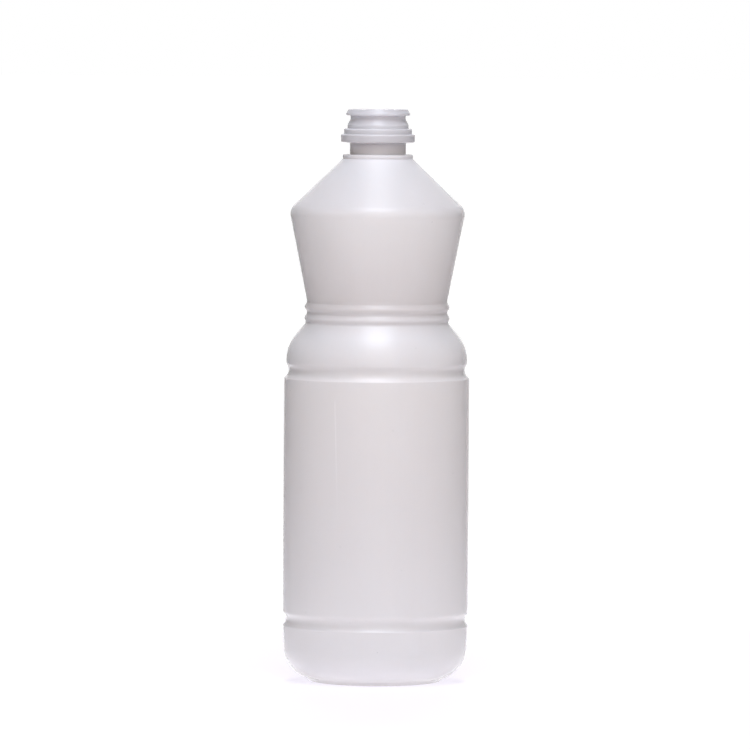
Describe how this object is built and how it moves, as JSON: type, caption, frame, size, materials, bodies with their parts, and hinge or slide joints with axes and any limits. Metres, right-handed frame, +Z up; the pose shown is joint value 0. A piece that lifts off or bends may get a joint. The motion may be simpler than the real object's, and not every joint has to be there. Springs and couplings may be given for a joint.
{
  "type": "plastic bottle",
  "caption": "Round blown plastic bottle with a stepped foot, straight label panel, grooved bulge, tapered waist, cone shoulder and open push-on neck, without its cap.",
  "frame": {"origin": "centre of the standing ring, on the plane the bottle stands on", "axes": "+Z up along the bottle's axis, towards the mouth; the two halves of the mould meet on the plane y = 0, so the base weld lies along X"},
  "size_m": [0.0842, 0.0842, 0.2591],
  "materials": {
    "bottle": "satin, slightly translucent white polyethylene"
  },
  "bodies": {
    "root": {"bottle": "bottle"}
  },
  "joints": []
}
